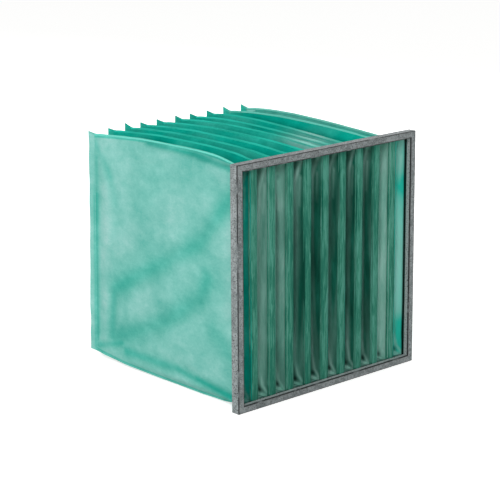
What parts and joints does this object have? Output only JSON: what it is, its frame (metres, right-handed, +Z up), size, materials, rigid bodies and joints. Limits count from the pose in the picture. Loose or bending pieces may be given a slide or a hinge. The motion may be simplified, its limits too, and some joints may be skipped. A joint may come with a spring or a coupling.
{
  "type": "bag air filter",
  "caption": "Square steel header frame with a row of deep wedge-shaped fabric pockets, open at the front and sewn shut at the rear, for a ventilation filter wall.",
  "frame": {"origin": "centre of the base: middle of the width, middle of the overall depth, underside of the bottom rail", "axes": "+Y along the airflow from the open mouth to the pocket ends, +Z up along the pockets, +X across the row of pockets"},
  "size_m": [0.592, 0.6, 0.592],
  "materials": {
    "galvanised_sheet": "galvanised sheet, dull and mottled grey",
    "inner_steel": "plain zinc-coated strip",
    "binding_cloth": "dense green nonwoven binding, matte",
    "pocket_cloth": "pale green synthetic nonwoven, matte and slightly translucent"
  },
  "bodies": {
    "root": {"left_rail": "galvanised_sheet", "bottom_rail": "galvanised_sheet", "right_rail": "galvanised_sheet", "top_rail": "galvanised_sheet", "left_clamp_strip": "inner_steel", "bottom_clamp_strip": "inner_steel", "right_clamp_strip": "inner_steel", "top_clamp_strip": "inner_steel", "corner_angle_bottom_left": "inner_steel", "corner_angle_bottom_right": "inner_steel", "corner_angle_top_right": "inner_steel", "corner_angle_top_left": "inner_steel", "divider_bar_01": "inner_steel", "divider_binding_01": "binding_cloth", "divider_bar_02": "inner_steel", "divider_binding_02": "binding_cloth", "divider_bar_03": "inner_steel", "divider_binding_03": "binding_cloth", "divider_bar_04": "inner_steel", "divider_binding_04": "binding_cloth", "divider_bar_05": "inner_steel", "divider_binding_05": "binding_cloth", "divider_bar_06": "inner_steel", "divider_binding_06": "binding_cloth", "divider_bar_07": "inner_steel", "divider_binding_07": "binding_cloth", "divider_bar_08": "inner_steel", "divider_binding_08": "binding_cloth", "divider_bar_09": "inner_steel", "divider_binding_09": "binding_cloth", "pocket_01": "pocket_cloth", "pocket_02": "pocket_cloth", "pocket_03": "pocket_cloth", "pocket_04": "pocket_cloth", "pocket_05": "pocket_cloth", "pocket_06": "pocket_cloth", "pocket_07": "pocket_cloth", "pocket_08": "pocket_cloth", "pocket_09": "pocket_cloth", "pocket_10": "pocket_cloth"}
  },
  "joints": []
}
